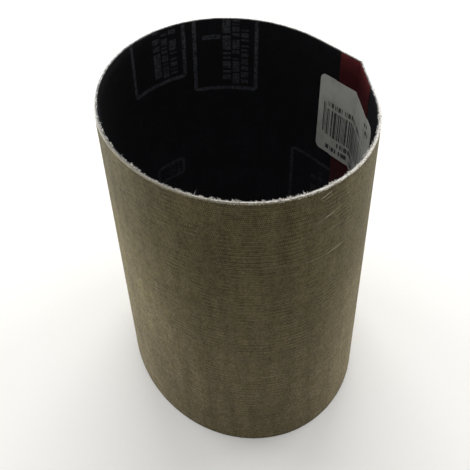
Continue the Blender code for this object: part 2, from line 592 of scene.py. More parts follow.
class Effects:
    """The effects that the finishes use, each built once."""

    def __init__(self) -> None:
        """Builds them all."""
        self.mottle = self.build_mottle()
        self.weave = self.build_weave()
        self.streaks = self.build_streaks()
        self.fray = self.build_fray()
        self.bars = self.build_bars()
        self.framed_print = self.build_framed_print()
        self.scratch = self.build_scratch()

    def streaked(self, b: NodeBench, wall: Socket, spacing: Triple, contrast: float) -> Socket:
        """A shade about 1 in streaks."""
        return b.result(self.streaks, place=wall, spacing=spacing, contrast=contrast)

    def patched(self, b: NodeBench, wall: Socket, size: float, contrast: float) -> Socket:
        """A shade about 1 in soft patches."""
        return b.result(self.mottle, place=wall, size=size, contrast=contrast)

    def woven(self, b: NodeBench, wall: Socket, pitch: Triple, wander: float) -> Socket:
        """The level of a woven face, mostly its knots' height and partly each knot's own level.

        Args:
            b: the bench that it is added on.
            wall: the place on the wall.
            pitch: of the knots.
            wander: how far the rows wander.

        Returns:
            The level, from 0 to 1.
        """
        height_share, own_share = 0.7, 0.3
        knots = b.effect(self.weave, place=wall, pitch=pitch, wander=wander)
        own = b.product(knots.outputs["Level"], own_share)
        return b.maths("MULTIPLY_ADD", knots.outputs["Height"], height_share, own)

    def build_mottle(self) -> bpy.types.NodeTree:
        """Soft patches: a shade that wanders about 1 by the contrast, in patches of one size.

        Returns:
            The group.
        """
        b = EffectBench(
            "soft_mottle",
            {"Place": Kind.VECTOR, "Size": Kind.NUMBER, "Contrast": Kind.NUMBER},
            {"Shade": Kind.NUMBER},
        )
        per_mm = b.maths("DIVIDE", 1.0, b.entry["Size"])
        swing = b.maths("SUBTRACT", b.noise(b.entry["Place"], per_mm), 0.5)
        twice = b.maths("MULTIPLY", swing, 2.0)
        b.give("Shade", b.maths("MULTIPLY_ADD", twice, b.entry["Contrast"], 1.0))
        return b.tree

    def build_weave(self) -> bpy.types.NodeTree:
        """Small knots in rows, each row set off by half a knot from the one below.

        A knot's height is the sine across it times the sine up it, to a power that makes it blunt.
        The rows wander a little, and each knot has a random level of its own.

        Returns:
            The group.
        """
        b = EffectBench(
            "knotted_rows",
            {"Place": Kind.VECTOR, "Pitch": Kind.VECTOR, "Wander": Kind.NUMBER},
            {"Height": Kind.NUMBER, "Level": Kind.NUMBER},
        )
        sway_scale, bluntness = 0.4, 0.7
        inputs = {"Vector": b.entry["Place"], "Scale": sway_scale, "Detail": 1.0}
        sway = b.plus(b.add("TexNoise", inputs).outputs[1], (-0.5, -0.5, -0.5))
        moved = b.plus(b.entry["Place"], b.scaled(sway, b.entry["Wander"]))
        node = b.add("VectorMath", {0: moved, 1: b.entry["Pitch"]}, operation="DIVIDE")
        across, _, up = b.axes(node.outputs[0])
        row = b.maths("FLOOR", up)
        across = b.maths("MULTIPLY_ADD", row, 0.5, across)
        waves = [b.maths("ABSOLUTE", b.maths("SINE", b.product(v, math.pi))) for v in (across, up)]
        b.give("Height", b.maths("POWER", b.product(*waves), bluntness))
        b.give("Level", b.speck(b.vector(b.maths("FLOOR", across), 0.0, row)))
        return b.tree

    def build_streaks(self) -> bpy.types.NodeTree:
        """Uneven lines that are long one way and narrow the other, as a stretched noise.

        Returns:
            The group.
        """
        b = EffectBench(
            "stretched_streaks",
            {"Place": Kind.VECTOR, "Spacing": Kind.VECTOR, "Contrast": Kind.NUMBER},
            {"Shade": Kind.NUMBER},
        )
        node = b.add("VectorMath", {0: b.entry["Place"], 1: b.entry["Spacing"]}, operation="DIVIDE")
        swing = b.maths("SUBTRACT", b.noise(node.outputs[0], 1.0, 2.0, 0.6), 0.5)
        twice = b.maths("MULTIPLY", swing, 2.0)
        b.give("Shade", b.maths("MULTIPLY_ADD", twice, b.entry["Contrast"], 1.0))
        return b.tree

    def build_fray(self) -> bpy.types.NodeTree:
        """Where bare thread shows below the upper cut edge: full at the edge, with a ragged far side.

        The reach is uneven by a fine and a broad noise, each with its scale and its share.

        Returns:
            The group.
        """
        b = EffectBench(
            "frayed_edge",
            {"Place": Kind.VECTOR, "Width": Kind.NUMBER, "Reach": Kind.NUMBER},
            {"Mask": Kind.NUMBER},
        )
        fine_scale, fine_share = 2.2, 2.2
        broad_scale, broad_share = 0.35, 1.2
        offset, beyond, before = -1.15, 0.22, 0.14
        along, depth, height = b.axes(b.entry["Place"])
        to_edge = b.maths("SUBTRACT", b.entry["Width"], height)
        fine = b.noise(b.vector(along, depth, 0.0), fine_scale, 2.0)
        broad = b.noise(b.vector(along, depth, 7.0), broad_scale, 1.0)
        uneven = b.maths("MULTIPLY_ADD", broad, broad_share, offset)
        uneven = b.maths("MULTIPLY_ADD", fine, fine_share, uneven)
        reach = b.product(uneven, b.entry["Reach"])
        b.give("Mask", b.eased(to_edge, b.maths("ADD", reach, beyond), b.maths("SUBTRACT", reach, before)))
        return b.tree

    def build_bars(self) -> bpy.types.NodeTree:
        """Plain bars in a window. A cell of the window is filled where its random value is low.

        Returns:
            The group.
        """
        b = EffectBench(
            "plain_bars",
            {
                "Place": Kind.VECTOR,
                "Low": Kind.VECTOR,
                "High": Kind.VECTOR,
                "Pitch": Kind.NUMBER,
                "Fill": Kind.NUMBER,
                "Seed": Kind.NUMBER,
            },
            {"Mask": Kind.NUMBER},
        )
        across, _, up = b.axes(b.entry["Place"])
        low_across, _, low_up = b.axes(b.entry["Low"])
        high_across, _, high_up = b.axes(b.entry["High"])
        window = b.product(
            b.maths("GREATER_THAN", across, low_across),
            b.maths("LESS_THAN", across, high_across),
            b.maths("GREATER_THAN", up, low_up),
            b.maths("LESS_THAN", up, high_up),
        )
        from_low = b.maths("SUBTRACT", across, low_across)
        cell = b.maths("FLOOR", b.maths("DIVIDE", from_low, b.entry["Pitch"]))
        filled = b.maths("LESS_THAN", b.speck(b.vector(cell, b.entry["Seed"], 0.5)), b.entry["Fill"])
        b.give("Mask", b.product(window, filled))
        return b.tree

    def build_framed_print(self) -> bpy.types.NodeTree:
        """A rounded frame with plain blocks in it, which stands in for the backing's print.

        The frame is where the distance from a rounded rectangle is less than half a line. The
        blocks are three close columns of bars and one dash beside them, a little paler.

        Returns:
            The group.
        """
        b = EffectBench(
            "framed_print",
            {
                "Place": Kind.VECTOR,
                "Corner": Kind.VECTOR,
                "Size": Kind.VECTOR,
                "Line": Kind.NUMBER,
                "Seed": Kind.NUMBER,
            },
            {"Mask": Kind.NUMBER},
        )
        local = b.plus(b.entry["Place"], b.scaled(b.entry["Corner"], -1.0))
        across, _, up = b.axes(local)
        wide, _, tall = b.axes(b.entry["Size"])
        rounding, softness, block_strength = 1.2, 0.35, 0.75
        past = []
        for at, size in ((across, wide), (up, tall)):
            off_middle = b.maths("ABSOLUTE", b.maths("MULTIPLY_ADD", size, -0.5, at))
            off_side = b.maths("ADD", b.maths("MULTIPLY_ADD", size, -0.5, off_middle), rounding)
            past.append(b.maths("MAXIMUM", off_side, 0.0))
        corner = b.add("VectorMath", {0: b.vector(past[0], past[1], 0.0)}, operation="LENGTH")
        off_line = b.maths("ABSOLUTE", b.maths("SUBTRACT", corner.outputs["Value"], rounding))
        half_line = b.product(b.entry["Line"], 0.5)
        ring = b.eased(off_line, b.product(half_line, 1 + softness), b.product(half_line, 1 - softness))
        turned = b.vector(up, 0.0, across)
        masks = []
        for block in PRINT_BLOCKS:
            low = b.vector(b.product(tall, block.low), 0.0, b.product(wide, block.first))
            high = b.vector(b.product(tall, block.high), 0.0, b.product(wide, block.last))
            seed = b.maths("ADD", b.entry["Seed"], block.first)
            bars = {"pitch": block.pitch, "fill": block.fill, "seed": seed}
            masks.append(b.result(self.bars, place=turned, low=low, high=high, **bars))
        b.give("Mask", b.largest(ring, b.product(b.largest(*masks), block_strength)))
        return b.tree

    def build_scratch(self) -> bpy.types.NodeTree:
        """A straight scratch: how near a place is to the line between two others.

        It fades towards both ends as the sine of the share run, to a power that keeps it full.

        Returns:
            The group.
        """
        b = EffectBench(
            "straight_scratch",
            {"Place": Kind.VECTOR, "Start": Kind.VECTOR, "End": Kind.VECTOR, "Width": Kind.NUMBER},
            {"Mask": Kind.NUMBER},
        )
        flat = b.times(b.entry["Place"], (1.0, 0.0, 1.0))
        from_start = b.plus(flat, b.scaled(b.entry["Start"], -1.0))
        whole = b.plus(b.entry["End"], b.scaled(b.entry["Start"], -1.0))
        dot = b.add("VectorMath", {0: from_start, 1: whole}, operation="DOT_PRODUCT").outputs["Value"]
        square = b.add("VectorMath", {0: whole, 1: whole}, operation="DOT_PRODUCT").outputs["Value"]
        share = b.maths("DIVIDE", dot, square, clamped=True)
        off = b.plus(from_start, b.scaled(b.scaled(whole, share), -1.0))
        distance = b.add("VectorMath", {0: off}, operation="LENGTH").outputs["Value"]
        near = b.eased(distance, b.entry["Width"], 0.0)
        ends, fullness = b.maths("SINE", b.product(share, math.pi)), 0.4
        b.give("Mask", b.product(near, b.maths("POWER", b.maths("ABSOLUTE", ends), fullness)))
        return b.tree


def new_material(name: str) -> tuple[bpy.types.Material, NodeBench, bpy.types.Node]:
    """A material with a Principled shader.

    Args:
        name: the material's name.

    Returns:
        The material, a bench on its nodes, and its shader node.
    """
    material = bpy.data.materials.new(name)
    material.use_nodes = True
    return material, NodeBench(material.node_tree), material.node_tree.nodes["Principled BSDF"]


def opaque(colour: Colour) -> tuple[float, float, float, float]:
    """A colour with full alpha."""
    return (*colour, 1.0)


def on_wall(pair: Pair) -> Triple:
    """A place on the wall by its two numbers along and up."""
    return (pair[0], 0.0, pair[1])


# Finishes.


@dataclass(frozen=True)
class Surface:
    """How a finish takes light: its roughness, its specular level, and its relief's strength and height."""

    roughness: Ramp
    specular: float
    bump_strength: float
    bump_metres: float

    def dress(
        self, b: NodeBench, shader: bpy.types.Node, colour: Socket, rough_by: Socket, relief: Socket
    ) -> None:
        """Feeds a Principled shader.

        Args:
            b: the bench on the shader's nodes.
            shader: the shader.
            colour: its base colour.
            rough_by: what its roughness follows.
            relief: what its relief follows.
        """
        b.feed(shader.inputs["Base Color"], colour)
        b.feed(shader.inputs["Roughness"], b.eased(rough_by, *self.roughness))
        shader.inputs["Specular IOR Level"].default_value = self.specular
        inputs = {"Strength": self.bump_strength, "Distance": self.bump_metres, "Height": relief}
        b.feed(shader.inputs["Normal"], b.add("Bump", inputs).outputs[0])


@dataclass(frozen=True)
class Scratch:
    """A scratch on the abrasive, by its two ends along the strip and up it, in millimetres."""

    start: Pair
    end: Pair
    strength: float
    width: float = 0.22


@dataclass(frozen=True)
class AbrasiveFinish:
    """Khaki abrasive on cloth: rows of small knots of grain, worn streaks and a few scratches."""

    effects: Effects
    width: float = 100.0
    olive: Colour = (0.143, 0.122, 0.061)
    khaki: Colour = (0.153, 0.1265, 0.082)
    valley: Colour = (0.051, 0.0415, 0.0195)
    worn: Colour = (0.380, 0.360, 0.290)
    thread: Colour = (0.620, 0.590, 0.520)
    knots: Weave = ((0.46, 1.0, 0.62), 0.28)
    grain: Noise = (2.6, 3.0, 0.8)
    grain_share: float = 0.60
    level_drop: float = 0.16
    crest_by_level: Ramp = (0.20, 1.04)
    hue: Noise = (0.22, 2.0)
    khaki_by_hue: Ramp = (0.35, 0.65, 0.25, 0.75)
    khaki_by_height: Ramp = (20.0, 96.0, 0.25, -0.40)
    streaks: tuple[Streaks, ...] = (
        ((7.0, 30.0, 1.25), 0.17),
        ((22.0, 30.0, 3.6), 0.16),
        ((4.0, 30.0, 30.0), 0.36),
    )
    patches: tuple[Patches, ...] = ((2.2, 0.21), (28.0, 0.14))
    rows: Weave = ((0.46, 1.0, 1.30), 0.45)
    row_middle: float = 0.55
    row_contrast: float = 0.72
    row_patches: Noise = (0.13, 2.0)
    rows_by_patch: Ramp = (0.42, 0.62)
    fine_lines: Streaks = ((0.40, 30.0, 2.4), 0.9)
    lines_by_height: Ramp = (82.0, 98.0, 0.08, 0.55)
    # Painted shade: darker within about a millimetre of the foot, where the strip meets the floor.
    painted_shade_at_foot: Ramp = (0.1, 1.4, 0.72, 1.0)
    # Painted light: lighter towards the foot and darker towards the top, as the floor's bounce would light
    # the face.
    painted_bounce_by_height: Ramp = (12.0, 94.0, 1.15, 0.77)
    # Painted light: a lighter band at mid height on the left side of the face, with the rest of that side a
    # little darker.
    painted_light_side: Ramp = (-0.020, -0.036)
    painted_light_above: Ramp = (20.0, 48.0)
    painted_light_below: Ramp = (92.0, 64.0)
    painted_light_lift: float = 0.27
    painted_light_drop: float = -0.07
    fray_reach: float = 0.55
    fray_by_side: Ramp = (-0.038, 0.000, 0.12, 0.68)
    scratch_relief: float = -0.6
    surface: Surface = Surface((0.2, 1.0, 0.92, 0.72), 0.08, 0.8, 0.00006)
    scratches: tuple[Scratch, ...] = (
        Scratch((218.9, 97.1), (222.4, 98.2), 0.85, 0.20),
        Scratch((219.4, 96.0), (222.8, 97.2), 0.40, 0.18),
        Scratch((220.6, 90.5), (223.8, 91.1), 0.85, 0.20),
        Scratch((217.0, 89.5), (226.2, 91.7), 0.28),
        Scratch((221.5, 77.4), (227.8, 77.9), 0.55),
        Scratch((213.9, 77.7), (221.5, 77.4), 0.18),
        Scratch((204.0, 79.4), (213.9, 77.7), 0.10),
        Scratch((221.6, 85.7), (227.4, 86.0), 0.22),
    )

    def level(self, b: NodeBench, wall: Socket) -> Socket:
        """Height of the grain, near 0 in the valleys and near 1 on the crests."""
        knots = b.maths("SUBTRACT", self.effects.woven(b, wall, *self.knots), self.level_drop)
        return b.maths("MULTIPLY_ADD", b.noise(wall, *self.grain), self.grain_share, knots)

    def ground(self, b: NodeBench, wall: Socket, level: Socket) -> Socket:
        """The colour from valley to crest. The crest is olive near the top, and khaki lower down.

        Args:
            b: the bench on the material's nodes.
            wall: the place on the wall.
            level: the grain's height.

        Returns:
            The colour.
        """
        _, _, height = b.axes(wall)
        hue = b.eased(b.noise(b.times(wall, (1.0, 0.0, 1.0)), *self.hue), *self.khaki_by_hue)
        hue = b.maths("ADD", hue, b.eased(height, *self.khaki_by_height), clamped=True)
        crest = b.mixed(hue, opaque(self.olive), opaque(self.khaki))
        return b.mixed(b.eased(level, *self.crest_by_level), opaque(self.valley), crest)

    def ribbing(self, b: NodeBench, wall: Socket) -> Socket:
        """A shade about 1 where coarser rows show in patches.

        Args:
            b: the bench on the material's nodes.
            wall: the place on the wall.

        Returns:
            The shade.
        """
        rows = b.result(self.effects.weave, place=wall, pitch=self.rows[0], wander=self.rows[1])
        patch = b.eased(b.noise(b.times(wall, (1.0, 0.0, 0.7)), *self.row_patches), *self.rows_by_patch)
        swing = b.maths("MULTIPLY", b.maths("SUBTRACT", rows, self.row_middle), patch)
        return b.maths("MULTIPLY_ADD", swing, self.row_contrast, 1.0)

    def shade(self, b: NodeBench, wall: Socket) -> Socket:
        """The product of all shades: streaks, patches, coarser rows, fine lines, and painted light and
        shade by height and side.

        Args:
            b: the bench on the material's nodes.
            wall: the place on the wall.

        Returns:
            The shade, about 1.
        """
        use = self.effects
        _, _, height = b.axes(wall)
        object_x, _, _ = b.object_axes()
        fine = b.maths("SUBTRACT", use.streaked(b, wall, *self.fine_lines), 1.0)
        # Painted light on the left side, in a band at mid height.
        band = b.product(b.eased(height, *self.painted_light_above), b.eased(height, *self.painted_light_below))
        pale = b.maths("MULTIPLY_ADD", band, self.painted_light_lift, self.painted_light_drop)
        return b.product(
            *(use.streaked(b, wall, *each) for each in self.streaks),
            *(use.patched(b, wall, *each) for each in self.patches),
            self.ribbing(b, wall),
            b.maths("MULTIPLY_ADD", fine, b.eased(height, *self.lines_by_height), 1.0),
            # Painted shade at the foot.
            b.eased(height, *self.painted_shade_at_foot),
            # Painted light from the floor's bounce, lighter low down.
            b.eased(height, *self.painted_bounce_by_height),
            b.maths("MULTIPLY_ADD", b.eased(object_x, *self.painted_light_side), pale, 1.0),
        )

    def scratched(self, b: NodeBench, wall: Socket) -> Socket:
        """How strongly the scratches show.

        Args:
            b: the bench on the material's nodes.
            wall: the place on the wall.

        Returns:
            The strength, from 0 to 1.
        """
        marks = []
        for each in self.scratches:
            start, end = on_wall(each.start), on_wall(each.end)
            near = b.result(self.effects.scratch, place=wall, start=start, end=end, width=each.width)
            marks.append(b.maths("MULTIPLY", near, each.strength))
        return b.largest(*marks)

    def material(self) -> bpy.types.Material:
        """Builds the material: shaded ground, scratches, and bare thread below the upper cut edge.

        Returns:
            The material.
        """
        material, b, shader = new_material("abrasive_grain")
        wall = b.wall()
        level = self.level(b, wall)
        mark = self.scratched(b, wall)
        colour = b.scaled(self.ground(b, wall, level), self.shade(b, wall))
        colour = b.mixed(mark, colour, opaque(self.worn))
        fray = b.result(self.effects.fray, place=wall, width=self.width, reach=self.fray_reach)
        object_x, _, _ = b.object_axes()
        fray = b.product(fray, b.eased(object_x, *self.fray_by_side))
        colour = b.mixed(fray, colour, opaque(self.thread))
        relief = b.maths("MULTIPLY_ADD", mark, self.scratch_relief, level)
        self.surface.dress(b, shader, colour, level, relief)
        return material


@dataclass(frozen=True)
class PrintedFrame:
    """One printed frame on the backing, by its low corner and its size in millimetres."""

    corner: Pair
    size: Pair
    seed: float


@dataclass(frozen=True)
class BackingFinish:
    """Black resin-filled cloth with a faint plain print."""

    effects: Effects
    width: float = 100.0
    resin: Colour = (0.0078, 0.0080, 0.0102)
    ridge: Colour = (0.0150, 0.0155, 0.0190)
    ink: Colour = (0.072, 0.074, 0.086)
    thread: Colour = (0.330, 0.310, 0.270)
    cloth: Weave = ((0.55, 1.0, 0.50), 0.5)
    patches: Patches = (9.0, 0.35)
    lines: Streaks = ((0.9, 30.0, 18.0), 0.25)
    # Painted light and shade: lighter deep in the loop and darker near the rim.
    painted_fill_by_height: Ramp = (25.0, 94.0, 1.60, 0.50)
    # Lighter towards the seam, twice as light over the last stretch before it.
    lighter_by_seam: Ramp = (256.0, 273.0, 1.0, 2.0)
    line: float = 1.35
    gaps: Noise = (1.1, 3.0, 0.75)
    ink_by_gaps: Ramp = (0.34, 0.60, 0.15, 1.1)
    fading: Noise = (0.22, 2.0)
    ink_by_fading: Ramp = (0.35, 0.60, 0.65, 1.1)
    ink_in_valleys: float = 0.5
    fray_reach: float = 0.12
    surface: Surface = Surface((0.0, 1.0, 0.90, 0.72), 0.12, 0.7, 0.00005)
    frames: tuple[PrintedFrame, ...] = (
        PrintedFrame((45.5, 73.0), (22.5, 42.0), 3.0),
        PrintedFrame((72.0, 80.0), (23.0, 42.0), 11.0),
        PrintedFrame((5.5, 11.0), (23.0, 42.0), 19.0),
        PrintedFrame((75.0, 38.4), (12.5, 6.6), 27.0),
        PrintedFrame((130.0, 62.0), (23.0, 42.0), 35.0),
        PrintedFrame((112.0, -8.0), (23.0, 42.0), 43.0),
        PrintedFrame((176.0, 70.0), (23.0, 42.0), 51.0),
        PrintedFrame((160.0, 6.0), (23.0, 42.0), 59.0),
        PrintedFrame((222.0, 76.0), (23.0, 42.0), 67.0),
        PrintedFrame((214.0, 12.0), (23.0, 42.0), 75.0),
    )

    def printed(self, b: NodeBench, wall: Socket, level: Socket) -> Socket:
        """How strongly the frames' ink shows: it has gaps, fades in patches and sits on the yarns.

        Args:
            b: the bench on the material's nodes.
            wall: the place on the wall.
            level: the cloth's height.

        Returns:
            The ink's strength.
        """
        masks = []
        for each in self.frames:
            corner, size = on_wall(each.corner), on_wall(each.size)
            frame_print = {"corner": corner, "size": size, "line": self.line, "seed": each.seed}
            masks.append(b.result(self.effects.framed_print, place=wall, **frame_print))
        return b.product(
            b.largest(*masks),
            b.eased(b.noise(wall, *self.gaps), *self.ink_by_gaps),
            b.eased(b.noise(wall, *self.fading), *self.ink_by_fading),
            b.maths("MULTIPLY_ADD", level, 1 - self.ink_in_valleys, self.ink_in_valleys),
        )

    def material(self) -> bpy.types.Material:
        """Builds the material: woven resin, patches, the frames' ink, and thread at the cut edges.

        Returns:
            The material.
        """
        material, b, shader = new_material("resin_backing")
        use = self.effects
        wall = b.wall()
        along, _, height = b.axes(wall)
        level = use.woven(b, wall, *self.cloth)
        ground = b.mixed(level, opaque(self.resin), opaque(self.ridge))
        shade = b.product(
            use.patched(b, wall, *self.patches),
            use.streaked(b, wall, *self.lines),
            # Painted light deep in the loop and painted shade near the rim.
            b.eased(height, *self.painted_fill_by_height),
            b.eased(along, *self.lighter_by_seam),
        )
        colour = b.mixed(self.printed(b, wall, level), b.scaled(ground, shade), opaque(self.ink))
        fray = b.result(use.fray, place=wall, width=self.width, reach=self.fray_reach)
        colour = b.mixed(fray, colour, opaque(self.thread))
        self.surface.dress(b, shader, colour, level, level)
        return material


@dataclass(frozen=True)
class ThreadFinish:
    """Bare thread at the cut edges: pale above, with painted light whiter at the far side and painted shade
    darker towards the foot.
    """

    effects: Effects
    pale: Colour = (0.840, 0.820, 0.775)
    dull: Colour = (0.400, 0.370, 0.310)
    # Painted light: the thread turns whiter towards the far side of the loop.
    white: Colour = (0.940, 0.935, 0.915)
    grain: Colour = (0.140, 0.121, 0.072)
    resin: Colour = (0.020, 0.020, 0.020)
    spots: Noise = (1.5, 3.0, 0.80)
    pale_by_spots: Ramp = (0.36, 0.56)
    far_turn: float = 0.4
    painted_light_far_side: Ramp = (-0.026, 0.014)
    raggedness: float = 0.7
    worn_by_side: Ramp = (-0.038, 0.020, -0.32, 0.08)
    grain_by_depth: Ramp = (-0.26, -0.68)
    grain_by_far: Ramp = (0.0, 1.0, 0.9, 0.0)
    bared_by_side: Ramp = (-0.038, -0.008, 0.16, 0.0)
    resin_by_depth: Ramp = (-0.03, 0.13)
    resin_by_far: Ramp = (0.0, 1.0, 1.0, 0.85)
    patches: Patches = (5.0, 0.22)
    # Painted shade: darker towards the foot, where the lower cut edge meets the floor.
    painted_foot_shade: Ramp = (2.0, 60.0, 0.30, 1.0)
    cords: Streaks = ((0.24, 0.8, 0.8), 1.0)
    sheen: float = 0.3
    sheen_roughness: float = 0.6
    surface: Surface = Surface((0.3, 0.7, 0.95, 0.8), 0.2, 0.6, 0.00008)

    def material(self, name: str, by_fibre: bool) -> bpy.types.Material:
        """Builds the material: thread, which gives way to grain outwards and is whiter at the far side, as
        painted light.

        The thread shows wider on the right. On the cut itself, resin shows beside the inner face.

        Args:
            name: the material's name.
            by_fibre: whether each fibre has a tone of its own, kept as an attribute.

        Returns:
            The material.
        """
        material, b, shader = new_material(name)
        wall = b.wall()
        _, depth, height = b.axes(wall)
        object_x, object_y, _ = b.object_axes()
        spots = b.noise(wall, *self.spots)
        tone = b.eased(spots, *self.pale_by_spots)
        if by_fibre:
            own = b.add("Attribute", attribute_name=TONE_ATTRIBUTE).outputs["Fac"]
            tone = b.maths("MULTIPLY", b.maths("ADD", tone, own), 0.5)
        colour = b.mixed(tone, opaque(self.dull), opaque(self.pale))
        # Painted light: whiter towards the back and the right, where the grain and the resin also show
        # less.
        right = b.maths("MAXIMUM", object_x, 0.0)
        far = b.eased(b.maths("MULTIPLY_ADD", right, self.far_turn, object_y), *self.painted_light_far_side)
        colour = b.mixed(far, colour, opaque(self.white))
        ragged = b.maths("MULTIPLY_ADD", spots, self.raggedness, depth)
        worn = b.maths("ADD", ragged, b.eased(object_x, *self.worn_by_side))
        outward = b.product(b.eased(worn, *self.grain_by_depth), b.eased(far, *self.grain_by_far))
        colour = b.mixed(outward, colour, opaque(self.grain))
        if not by_fibre:
            bared = b.maths("ADD", ragged, b.eased(object_x, *self.bared_by_side))
            inner = b.product(b.eased(bared, *self.resin_by_depth), b.eased(far, *self.resin_by_far))
            colour = b.mixed(inner, colour, opaque(self.resin))
        patches = self.effects.patched(b, wall, *self.patches)
        # Painted shade towards the foot.
        colour = b.scaled(colour, b.product(patches, b.eased(height, *self.painted_foot_shade)))
        shader.inputs["Sheen Weight"].default_value = self.sheen
        shader.inputs["Sheen Roughness"].default_value = self.sheen_roughness
        self.surface.dress(b, shader, colour, spots, self.effects.streaked(b, wall, *self.cords))
        return material


@dataclass(frozen=True)
class TapeFinish:
    """Dark red film over lengthwise yarns."""

    effects: Effects
    film: Colour = (0.083, 0.0132, 0.0146)
    deep: Colour = (0.044, 0.0106, 0.0124)
    haze: Colour = (0.100, 0.085, 0.105)
    yarns: Streaks = ((24.0, 9.0, 0.35), 0.9)
    warp: Streaks = ((0.5, 9.0, 14.0), 0.9)
    blotches: Patches = (3.0, 0.45)
    film_by_tone: Ramp = (0.5, 1.5)
    haze_by_height: Ramp = (72.0, 40.0, 0.0, 0.22)
    # Painted light: a little darker below and brighter by the upper edge, where light falls on the film
    # from above.
    painted_top_light: Ramp = (92.0, 99.5, 0.85, 1.70)
    # Painted light: lighter deep in the loop.
    painted_fill_by_height: Ramp = (30.0, 75.0, 1.6, 1.0)
    surface: Surface = Surface((0.7, 1.3, 0.60, 0.80), 0.04, 0.35, 0.00005)

    def material(self) -> bpy.types.Material:
        """Builds the material: yarns under a film with blotches and a grey haze lower down, with painted
        light deep in the loop and by the upper edge.

        Returns:
            The material.
        """
        material, b, shader = new_material("red_film")
        use = self.effects
        wall = b.wall()
        _, _, height = b.axes(wall)
        yarns = b.maths("ADD", use.streaked(b, wall, *self.yarns), use.streaked(b, wall, *self.warp))
        blotches = use.patched(b, wall, *self.blotches)
        tone = b.product(yarns, blotches, 0.5)
        colour = b.mixed(b.eased(tone, *self.film_by_tone), opaque(self.deep), opaque(self.film))
        colour = b.mixed(b.eased(height, *self.haze_by_height), colour, opaque(self.haze))
        # Painted light: lighter deep in the loop and brighter by the upper edge.
        painted_light = b.product(b.eased(height, *self.painted_top_light), b.eased(height, *self.painted_fill_by_height))
        self.surface.dress(b, shader, b.scaled(colour, painted_light), blotches, tone)
        return material


@dataclass(frozen=True)
class PrintedBars:
    """A row of plain printed bars, by two corners of its window and the width of a bar, in millimetres."""

    low: Pair
    high: Pair
    pitch: float
    fill: float
    seed: float


@dataclass(frozen=True)
class PaperFinish:
    """White label paper with rows of plain bars in black ink."""

    effects: Effects
    # Greyer than white paper: the paper's tone with painted shade for the inside of the loop.
    paper: Colour = (0.585, 0.592, 0.550)
    soiled: Colour = (0.460, 0.462, 0.425)
    ink: Colour = (0.020, 0.020, 0.022)
    soiling: Noise = (0.16, 4.0, 0.6)
    soiled_by_noise: Ramp = (0.42, 0.72)
    fibre: Patches = (0.8, 0.05)
    fading: Noise = (1.4, 3.0, 0.7)
    ink_by_fading: Ramp = (0.25, 0.6, 0.72, 0.96)
    surface: Surface = Surface((0.0, 1.0, 0.48, 0.66), 0.4, 0.25, 0.00003)
    rows: tuple[PrintedBars, ...] = (
        PrintedBars((-15.5, 67.0), (12.9, 77.4), 0.30, 0.50, 2.0),
        PrintedBars((13.3, 67.6), (14.6, 79.2), 0.26, 0.75, 6.0),
        PrintedBars((-15.0, 78.4), (12.4, 80.2), 0.40, 0.55, 9.0),
        PrintedBars((-6.0, 64.2), (6.4, 66.0), 0.40, 0.60, 15.0),
        PrintedBars((-6.0, 61.4), (12.4, 63.2), 0.40, 0.60, 27.0),
        PrintedBars((-19.4, 83.6), (-14.2, 85.0), 0.45, 0.66, 30.0),
        PrintedBars((-19.4, 86.0), (-14.2, 87.2), 0.45, 0.66, 37.0),
    )

    def material(self) -> bpy.types.Material:
        """Builds the material: paper with faint soiling and fibre, and the printed rows.

        Returns:
            The material.
        """
        material, b, shader = new_material("label_paper")
        use = self.effects
        wall = b.wall()
        soil = b.eased(b.noise(wall, *self.soiling), *self.soiled_by_noise)
        fibre = use.patched(b, wall, *self.fibre)
        paper = b.scaled(b.mixed(soil, opaque(self.paper), opaque(self.soiled)), fibre)
        masks = []
        for row in self.rows:
            window = {"low": on_wall(row.low), "high": on_wall(row.high)}
            masks.append(
                b.result(use.bars, place=wall, pitch=row.pitch, fill=row.fill, seed=row.seed, **window)
            )
        fade = b.eased(b.noise(wall, *self.fading), *self.ink_by_fading)
        colour = b.mixed(b.product(b.largest(*masks), fade), paper, opaque(self.ink))
        self.surface.dress(b, shader, colour, soil, fibre)
        return material


# The pieces.


